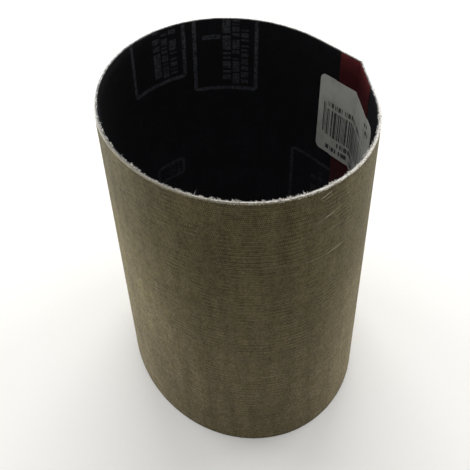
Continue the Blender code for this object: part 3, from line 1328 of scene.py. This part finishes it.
@dataclass
class AbrasiveStrip:
    """The strip itself: cloth, resin and grain in one wall, closed and bent round to its seam."""

    plan: LoopPlan
    effects: Effects
    columns: int = 1040
    end_gap: float = 0.00014
    corner: float = 0.00020
    corner_steps: int = 4
    rim_steps: int = 5
    finest_row: float = 0.00012
    coarsest_row: float = 0.0120
    cut_wander: float = 0.00018
    broad_wave: float = 0.0021
    broad_share: float = 0.6
    fine_wave: float = 0.0006
    lip: float = 0.00003
    lip_wave: float = 0.0011
    lip_reach: float = 0.0007
    seed: int = 41

    def profile(self) -> tuple[Array, Array]:
        """The wall's cross-section: up the inner face, over the rim, down the outer face, and back.

        Each corner is a quarter circle, with cosine and sine of an angle for its depth and height.

        Returns:
            Rows of depth and height, and for the face from each of them to the next the number of
            its material: 0 abrasive, 1 backing, 2 cut edge.
        """
        r, wall, width = self.corner, self.plan.wall, self.plan.width
        rise = graded(r, width - r, self.finest_row, self.coarsest_row)
        turn = np.linspace(0.0, math.pi / 2, self.corner_steps + 1)[1:]
        flat = np.linspace(-r, r - wall, self.rim_steps + 1)[1:]
        inner = np.column_stack([np.zeros_like(rise), rise])
        top_in = np.column_stack([r * np.cos(turn) - r, width - r + r * np.sin(turn)])
        top = np.column_stack([flat, np.full_like(flat, width)])
        top_out = np.column_stack([r - wall - r * np.sin(turn), width - r + r * np.cos(turn)])
        outer = np.column_stack([np.full_like(rise, -wall), rise[::-1]])[1:]
        foot_out = np.column_stack([r - wall - r * np.cos(turn), r - r * np.sin(turn)])
        foot = np.column_stack([flat[::-1] - (flat[-1] + flat[0]) / 2 - wall / 2, np.zeros_like(flat)])[:-1]
        foot_in = np.column_stack([r * np.sin(turn) - r, r - r * np.cos(turn)])[:-1]
        parts = [inner, top_in, top, top_out, outer, foot_out, foot, foot_in]
        grain, cloth, cut = range(3)
        numbers = [cloth, cut, cut, cut, grain, cut, cut, cut]
        sides = np.concatenate([np.full(len(p), n) for p, n in zip(parts, numbers)])
        last_of = np.cumsum([len(p) for p in parts]) - 1
        for part, onwards in ((0, cut), (3, grain), (4, cut)):
            sides[last_of[part]] = onwards
        return np.vstack(parts), sides

    def wall_places(self) -> tuple[Array, Array]:
        """The strip's places on the wall, with the wander of its cut edges.

        Near an edge, a place moves up or down with the cut and bulges out of the face, by an uneven
        line along the strip times a weight that falls off with its distance from the edge.

        Returns:
            Places of shape 1, columns, sides, 3, and each side's material.
        """
        rng = np.random.default_rng(self.seed)
        section, sides = self.profile()
        along = np.linspace(self.end_gap / 2, self.plan.length - self.end_gap / 2, self.columns)
        depth, height = np.broadcast_to(section, (self.columns, len(section), 2)).transpose(2, 0, 1)
        place = np.stack([np.broadcast_to(along[:, None], depth.shape), depth, height], axis=-1).copy()
        for edge in CutEdge:
            to_edge = height if edge is CutEdge.LOWER else self.plan.width - height
            weight = np.exp(-((to_edge / self.lip_reach) ** 2))
            wander = self.broad_share * smooth_ragged(along, self.broad_wave, rng)
            wander += (1 - self.broad_share) * smooth_ragged(along, self.fine_wave, rng)
            place[..., 2] -= edge.value * self.cut_wander * (1 + wander[:, None]) / 2 * weight
            for side, outward in ((-self.plan.wall, -1.0), (0.0, 1.0)):
                bulge = 0.5 + 0.5 * smooth_ragged(along, self.lip_wave, rng)
                near = np.clip(1 - np.abs(depth - side) / (self.plan.wall / 2), 0.0, 1.0)
                place[..., 1] += outward * self.lip * bulge[:, None] ** 2 * near * weight
        return place[None], sides

    def build(self) -> Piece:
        """Builds the strip.

        Returns:
            The strip, in place of its solid.
        """
        place, sides = self.wall_places()
        materials = [
            AbrasiveFinish(self.effects).material(),
            BackingFinish(self.effects).material(),
            ThreadFinish(self.effects).material("cut_edge_thread", by_fibre=False),
        ]
        strip = swept_object("abrasive_strip", self.plan, place, materials, side_material=sides)
        return Piece(strip, Slot.ABRASIVE, replaces="abrasive_belt")


@dataclass
class Fibres:
    """A family of thin tapered fibres, all as arrays with one row for each fibre."""

    base: Array
    lean: Array
    curl: Array
    length: Array
    radius: Array
    tone: Array
    rings: int = 5
    sides: int = 4
    taper: float = 0.8

    def places(self) -> Array:
        """The fibres' skins as places on the wall.

        A fibre's middle line starts at its base, and runs its length along its lean plus its curl
        times the square of the share run. Each ring is a circle square to that line, which shrinks
        towards the tip.

        Returns:
            Places of shape fibres, rings, sides, 3.
        """
        run = np.linspace(0.0, 1.0, self.rings)[None, :, None]
        size = self.length[:, None, None]
        lean, curl = self.lean[:, None], self.curl[:, None]
        middle = self.base[:, None] + size * (lean * run + curl * run**2)
        heading = lean + 2 * curl * run
        heading = heading / np.linalg.norm(heading, axis=-1, keepdims=True)
        least = np.eye(3)[np.argmin(np.abs(self.lean), axis=1)][:, None]
        beside = np.cross(heading, least)
        beside /= np.linalg.norm(beside, axis=-1, keepdims=True)
        square = np.cross(heading, beside)
        angle = np.arange(self.sides) * 2 * math.pi / self.sides
        girth = self.radius[:, None, None, None] * (1 - self.taper * run[..., None] ** 2)
        circle = np.cos(angle)[:, None] * beside[:, :, None]
        circle = circle + np.sin(angle)[:, None] * square[:, :, None]
        return middle[:, :, None] + girth * circle


@dataclass
class FrayedEdge:
    """Cut thread ends that stand out along one edge of the strip, singly and in tufts."""

    plan: LoopPlan
    effects: Effects
    edge: CutEdge
    thread_pitch: float = 0.00045
    stub_length: Pair = (0.00005, 0.00016)
    stub_radius: float = 0.00010
    stub_depth: Pair = (0.2, 0.8)
    tuft_pitch: float = 0.0012
    lower_tufts: int = 3
    tuft_threads: int = 13
    tuft_spread: float = 0.00020
    tuft_length: Pair = (0.00018, 0.00056)
    tuft_radius: float = 0.00006
    tuft_depth: Pair = (1.1, 2.6)
    least_tuft: float = 0.3
    tuft_skew: Pair = (1.0, 1.5)
    jitter: float = 0.3
    upright: Pair = (0.35, 1.0)
    sideways: Pair = (0.2, 0.5)
    scatter: float = 0.35
    girth: Pair = (0.7, 1.2)
    stub_tone: Pair = (0.0, 0.8)
    tuft_tone: Pair = (0.4, 1.0)
    seam_margin: float = 0.002
    root: float = 0.00016
    foot_root: float = 0.00012
    foot_lift: float = 0.12
    foot_curl: float = 0.2
    seed: int = 7

    def edge_height(self) -> float:
        """Height of the edge that the threads stand on."""
        return self.plan.width if self.edge is CutEdge.UPPER else 0.0

    def threads(self) -> Fibres:
        """Stubs at the thread pitch all round, and tufts at random places on the inner side.

        Upper threads stand up and lean a little. Lower threads lie out from the two faces, since
        the strip stands on that edge, and one tuft in lower_tufts is left there.

        Returns:
            The fibres.
        """
        rng = np.random.default_rng(self.seed + int(self.edge.value))
        stubs = int(self.plan.length / self.thread_pitch) - 1
        tufts = int(self.plan.length / self.tuft_pitch)
        if self.edge is CutEdge.LOWER:
            tufts //= self.lower_tufts
        off_pitch = rng.uniform(-self.jitter, self.jitter, stubs)
        at_stub = (np.arange(stubs) + 1 + off_pitch) * self.thread_pitch
        last = self.plan.length - self.seam_margin
        at_tuft = np.repeat(rng.uniform(self.seam_margin, last, tufts), self.tuft_threads)
        many = at_tuft.size
        size = self.least_tuft + (1 - self.least_tuft) * rng.beta(*self.tuft_skew, tufts)
        size = np.repeat(size, self.tuft_threads)
        at_tuft = at_tuft + rng.normal(0.0, self.tuft_spread, many)
        along = np.concatenate([at_stub, at_tuft])
        inner = np.concatenate([rng.uniform(*self.stub_depth, stubs), rng.beta(*self.tuft_depth, many)])
        depth = -self.plan.wall * inner
        is_tuft = np.arange(along.size) >= stubs
        up = self.edge.value
        upright = np.where(is_tuft, rng.uniform(*self.upright, along.size), 1.0)
        stub_side, tuft_side = self.sideways
        sideways = rng.uniform(0.0, np.where(is_tuft, tuft_side, stub_side))
        sideways = np.where(inner < 0.5, 1.0, -1.0) * sideways
        lean = np.column_stack([rng.normal(0.0, self.scatter, along.size), sideways, up * upright])
        if self.edge is CutEdge.LOWER:
            lean[:, 2] = self.foot_lift
            lean[:, 1] = np.sign(lean[:, 1])
            depth = np.where(inner < 0.5, -self.foot_root, self.foot_root - self.plan.wall)
        lean /= np.linalg.norm(lean, axis=1, keepdims=True)
        curl = rng.normal(0.0, self.scatter, lean.shape)
        curl[:, 2] = np.abs(curl[:, 2]) * (1.0 if self.edge is CutEdge.UPPER else self.foot_curl)
        short = rng.uniform(*self.stub_length, along.size)
        long = rng.uniform(*self.tuft_length, along.size) * np.concatenate([np.ones(stubs), size])
        height = self.edge_height() - up * self.root
        girth = rng.uniform(*self.girth, along.size)
        tuft_tone = rng.uniform(*self.tuft_tone, along.size)
        stub_tone = rng.uniform(*self.stub_tone, along.size)
        return Fibres(
            base=np.column_stack([along, depth, np.full_like(along, height)]),
            lean=lean,
            curl=curl,
            length=np.where(is_tuft, long, short),
            radius=np.where(is_tuft, self.tuft_radius, self.stub_radius) * girth,
            tone=np.where(is_tuft, tuft_tone, stub_tone),
        )

    def build(self) -> Piece:
        """Builds the threads of this edge.

        Returns:
            The frayed edge.
        """
        fibres = self.threads()
        places = fibres.places()
        places[..., 2] = np.maximum(places[..., 2], 0.0)
        name = f"{self.edge.name.lower()}_frayed_edge"
        finish = ThreadFinish(self.effects).material(f"{name}_thread", by_fibre=True)
        obj = swept_object(name, self.plan, places, [finish], tone=fibres.tone)
        return Piece(obj, Slot.EDGE)


@dataclass
class LooseThreads:
    """A few long fine fibres that have worked out of the upper edge."""

    plan: LoopPlan
    effects: Effects
    count: int = 130
    length: Pair = (0.0004, 0.0012)
    radius: float = 0.000035
    length_skew: Pair = (1.2, 3.0)
    depth_skew: Pair = (0.8, 1.4)
    lengthwise: Pair = (0.2, 1.2)
    inward: Pair = (0.25, 0.45)
    upward: Pair = (0.05, 0.6)
    curliness: float = 0.30
    droop: float = 0.15
    tones: Pair = (0.3, 1.0)
    seam_margin: float = 0.003
    root: float = 0.0001
    seed: int = 23

    def build(self) -> Piece:
        """Builds the fibres: most lie close along the edge, and some reach into the loop.

        Returns:
            The loose threads.
        """
        rng = np.random.default_rng(self.seed)
        along = rng.uniform(self.seam_margin, self.plan.length - self.seam_margin, self.count)
        depth = -self.plan.wall * rng.beta(*self.depth_skew, self.count)
        base = np.column_stack([along, depth, np.full(self.count, self.plan.width - self.root)])
        lean = np.column_stack(
            [
                rng.choice([-1.0, 1.0], self.count) * rng.uniform(*self.lengthwise, self.count),
                rng.normal(*self.inward, self.count),
                rng.uniform(*self.upward, self.count),
            ]
        )
        lean /= np.linalg.norm(lean, axis=1, keepdims=True)
        curl = rng.normal(0.0, self.curliness, lean.shape)
        curl[:, 2] -= self.droop
        shortest, longest = self.length
        fibres = Fibres(
            base=base,
            lean=lean,
            curl=curl,
            length=shortest + (longest - shortest) * rng.beta(*self.length_skew, self.count),
            radius=np.full(self.count, self.radius),
            tone=rng.uniform(*self.tones, self.count),
            rings=8,
            sides=3,
        )
        finish = ThreadFinish(self.effects).material("loose_thread", by_fibre=True)
        obj = swept_object("loose_threads", self.plan, fibres.places(), [finish], tone=fibres.tone)
        return Piece(obj, Slot.EDGE)


@dataclass
class SpliceTape:
    """The red tape along the seam, stuck down flat and folded with the kink."""

    plan: LoopPlan
    effects: Effects
    before: float = 0.0155
    after: float = 0.0087
    trim: float = 0.0004
    off_wall: float = 0.00003
    thickness: float = 0.00012
    thinned_side: Pair = (0.0003, 0.35)
    swell: float = 0.00003
    swell_rise: float = 0.00005
    swell_reach: float = 0.002
    swell_waves: Pair = (0.0035, 0.006)
    fine_wander: Pair = (0.00005, 0.004)
    broad_wander: Pair = (0.0003, 0.017)
    wander_reach: float = 0.003
    columns: int = 121
    rows: int = 240
    seed: int = 5

    def build(self) -> Piece:
        """Builds the film as one closed sweep across the seam.

        Its depth is the thickness, less a soft thinning at its long edges, plus an uneven swell
        that is a sum of two uneven lines, one along the strip and one up it. Its long edges wander
        by a fine and a broad uneven line, each given by its size and its spacing.

        Returns:
            The tape, in place of its solid.
        """
        rng = np.random.default_rng(self.seed)
        along = np.linspace(-self.before, self.after, self.columns)
        height = np.linspace(self.trim, self.plan.width - self.trim, self.rows)
        fine, broad = self.fine_wander, self.broad_wander
        side_wander = fine[0] * smooth_ragged(height, fine[1], rng)
        side_wander += broad[0] * smooth_ragged(height, broad[1], rng)
        to_side = np.minimum(along - along[0], along[-1] - along)[:, None]
        across = smooth_ragged(along - along[0], self.swell_waves[0], rng)[:, None]
        swell = self.swell * (across + smooth_ragged(height, self.swell_waves[1], rng)[None])
        thinned, least = self.thinned_side
        full = self.thickness * np.clip(to_side / thinned, least, 1.0)
        swollen = (swell + self.swell_rise) * np.clip(to_side / self.swell_reach, 0.0, 1.0)
        front = self.off_wall + full + swollen
        back = np.full_like(front, self.off_wall)
        spread = along[:, None] + side_wander * (1 - np.clip(to_side / self.wander_reach, 0.0, 1.0))
        level = np.broadcast_to(height[None], front.shape)
        near = np.stack([spread, front, level], axis=-1)
        far = np.stack([spread, back, level], axis=-1)[:, ::-1]
        places = np.concatenate([near, far], axis=1)[None]
        obj = swept_object("red_splice_tape", self.plan, places, [TapeFinish(self.effects).material()])
        return Piece(obj, Slot.TAPE, replaces="splice_tape")


@dataclass
class PaperLabel:
    """The white label, stuck across the tape and the backing."""

    plan: LoopPlan
    effects: Effects
    tape: SpliceTape
    width: float = 0.040
    height: float = 0.0296
    corner: float = 0.0022
    below_edge: float = 0.0107
    past_seam: float = 0.0169
    ramp: float = 0.0016
    off_wall: float = 0.00004
    thickness: float = 0.00010
    over_tape: float = 0.00013
    end_lift: float = 0.00010
    end_lift_reach: float = 0.004
    columns: int = 201
    rows: int = 151

    def rise(self, along: Array) -> Array:
        """How much further in the label lies where it crosses the tape, with a ramp at each side.

        Args:
            along: lengths from the seam.

        Returns:
            The rise at each of them.
        """
        past = np.maximum(np.maximum(along - self.tape.after, -self.tape.before - along), 0.0)
        top = self.tape.off_wall + self.tape.thickness + self.over_tape
        return top * (0.5 + 0.5 * np.cos(math.pi * np.clip(past / self.ramp, 0.0, 1.0)))

    def build(self) -> Piece:
        """Builds the label as one closed sweep.

        Near an end its top and bottom draw in by the corner radius less the height of a circle at
        that distance from the end. The end past the seam lifts a little from the wall, as the
        square of how near it is. Columns stand closer together at both ends.

        Returns:
            The label, in place of its solid.
        """
        share = (1 - np.cos(np.linspace(0.0, math.pi, self.columns))) / 2
        share = 0.5 * share + 0.5 * np.linspace(0.0, 1.0, self.columns)
        along = self.past_seam - self.width * (1 - share)
        to_end = np.minimum(along - along[0], along[-1] - along)
        short = np.maximum(self.corner - to_end, 0.0)
        drawn_in = self.corner - np.sqrt(np.maximum(self.corner**2 - short**2, 0.0))
        top = self.plan.width - self.below_edge - drawn_in
        bottom = self.plan.width - self.below_edge - self.height + drawn_in
        up = np.linspace(0.0, 1.0, self.rows)[None]
        level = bottom[:, None] + (top - bottom)[:, None] * up
        lift = self.end_lift * np.clip(1 - (along[-1] - along) / self.end_lift_reach, 0.0, 1.0) ** 2
        depth = np.broadcast_to((self.off_wall + self.rise(along) + lift)[:, None], level.shape)
        spread = np.broadcast_to(along[:, None], level.shape)
        near = np.stack([spread, depth + self.thickness, level], axis=-1)
        far = np.stack([spread, depth, level], axis=-1)[:, ::-1]
        places = np.concatenate([near, far], axis=1)[None]
        obj = swept_object("stock_label", self.plan, places, [PaperFinish(self.effects).material()])
        return Piece(obj, Slot.PAPER, replaces="paper_label")


# The studio.


@dataclass(frozen=True)
class Panel:
    """A soft light panel, by its place, what it aims at, its size and its power."""

    name: str
    place: Triple
    aim: Triple
    size: Pair
    watts: float
    colour: Colour = (1.0, 1.0, 1.0)

    def build(self) -> bpy.types.Object:
        """Hangs the panel.

        Returns:
            The light.
        """
        light = bpy.data.lights.new(self.name, "AREA")
        light.shape = "RECTANGLE"
        light.size, light.size_y = self.size
        light.energy = self.watts
        light.color = self.colour
        obj = bpy.data.objects.new(self.name, light)
        heading = Vector(self.aim) - Vector(self.place)
        turn = heading.to_track_quat("-Z", "Y").to_matrix().to_4x4()
        obj.matrix_world = Matrix.Translation(self.place) @ turn
        obj.visible_camera = False
        bpy.context.scene.collection.objects.link(obj)
        return obj


@dataclass
class Studio:
    """A pale floor under soft light, and an even world, both lighter to the camera than they light."""

    floor_half: float = 3.0
    floor_drop: float = 0.0002
    floor_colour: Colour = (0.780, 0.775, 0.760)
    floor_patches: Ramp = (0.2, 0.8, 0.985, 1.015)
    floor_lift: float = 0.13
    lift_colour: Colour = (1.0, 1.0, 0.985)
    world_colour: Colour = (1.0, 0.995, 0.985)
    world_strength: float = 0.60
    world_lift: float = 0.38
    panels: tuple[Panel, ...] = (
        Panel("back_panel", (0.20, 0.80, 0.95), (0.0, 0.0, 0.05), (0.8, 0.7), 8.5, (1.0, 0.99, 0.97)),
        Panel("left_panel", (-0.70, 0.61, 0.07), (0.0, 0.0, 0.03), (0.6, 0.12), 16.0, (0.99, 1.0, 1.0)),
        Panel("right_panel", (0.75, 0.22, 0.08), (0.0, 0.0, 0.03), (0.5, 0.14), 8.4, (1.0, 1.0, 0.995)),
    )

    def floor_material(self) -> bpy.types.Material:
        """A pale matt floor that the camera and reflections see a little lighter than it is lit.

        Returns:
            The material.
        """
        material, b, shader = new_material("pale_floor")
        place = b.add("TexCoord").outputs["Object"]
        patches = b.eased(b.noise(place, 2.0), *self.floor_patches)
        b.feed(shader.inputs["Base Color"], b.scaled(self.floor_colour, patches))
        shader.inputs["Roughness"].default_value = 0.9
        shader.inputs["Specular IOR Level"].default_value = 0.1
        rays = b.add("LightPath").outputs
        seen = b.maths("ADD", rays["Is Camera Ray"], rays["Is Glossy Ray"])
        seen = b.maths("ADD", seen, rays["Is Transmission Ray"], clamped=True)
        shader.inputs["Emission Color"].default_value = opaque(self.lift_colour)
        b.feed(shader.inputs["Emission Strength"], b.maths("MULTIPLY", seen, self.floor_lift))
        return material

    def build(self) -> None:
        """Lays the floor, hangs the panels and sets the world."""
        half = self.floor_half
        flat = ((-half, -half), (half, -half), (half, half), (-half, half))
        corners = [(x, y, -self.floor_drop) for x, y in flat]
        mesh = bpy.data.meshes.new("studio_floor")
        mesh.from_pydata(corners, [], [(0, 1, 2, 3)])
        mesh.materials.append(self.floor_material())
        floor = bpy.data.objects.new("studio_floor", mesh)
        bpy.context.scene.collection.objects.link(floor)
        for panel in self.panels:
            panel.build()
        world = bpy.data.worlds.new("studio_world")
        world.use_nodes = True
        b = NodeBench(world.node_tree)
        ground = world.node_tree.nodes["Background"]
        ground.inputs["Color"].default_value = opaque(self.world_colour)
        seen = b.add("LightPath").outputs["Is Camera Ray"]
        strength = b.maths("MULTIPLY_ADD", seen, self.world_lift, self.world_strength)
        b.feed(ground.inputs["Strength"], strength)
        bpy.context.scene.world = world


@dataclass(frozen=True)
class PhotoCamera:
    """The camera at the photograph's viewing angle, with angles in degrees and its focus in pixels."""

    place: Triple = (-0.03563, -0.17012, 0.19775)
    turned_right: float = 11.08
    tilted_down: float = 41.5
    rolled: float = 2.017
    focal_pixels: float = 669.0
    image_pixels: float = 470.0
    sensor_mm: float = 36.0
    nearest: float = 0.01

    def build(self) -> None:
        """Places the camera: turned about the vertical, tilted down, then rolled about its axis."""
        camera = bpy.data.cameras.new("photo_camera")
        camera.sensor_width = self.sensor_mm
        camera.lens = self.focal_pixels / self.image_pixels * self.sensor_mm
        camera.clip_start = self.nearest
        obj = bpy.data.objects.new("photo_camera", camera)
        obj.matrix_world = (
            Matrix.Translation(self.place)
            @ Matrix.Rotation(math.radians(-self.turned_right), 4, "Z")
            @ Matrix.Rotation(math.radians(90.0 - self.tilted_down), 4, "X")
            @ Matrix.Rotation(math.radians(-self.rolled), 4, "Z")
        )
        bpy.context.scene.collection.objects.link(obj)
        bpy.context.scene.camera = obj


def main() -> None:
    """Builds the pieces and the studio, and hands the pieces to the frame."""
    logging.basicConfig(level=logging.INFO, format="%(name)s: %(message)s")
    bpy.context.scene.view_settings.view_transform = "Standard"
    plan = LoopPlan()
    effects = Effects()
    strip = AbrasiveStrip(plan, effects).build()
    edges = [FrayedEdge(plan, effects, edge).build() for edge in CutEdge]
    threads = LooseThreads(plan, effects).build()
    tape = SpliceTape(plan, effects)
    label = PaperLabel(plan, effects, tape).build()
    pieces = [strip, *edges, threads, tape.build(), label]
    for piece in pieces:
        piece.hand_over()
    Studio().build()
    PhotoCamera().build()


if __name__ == "__main__":
    main()
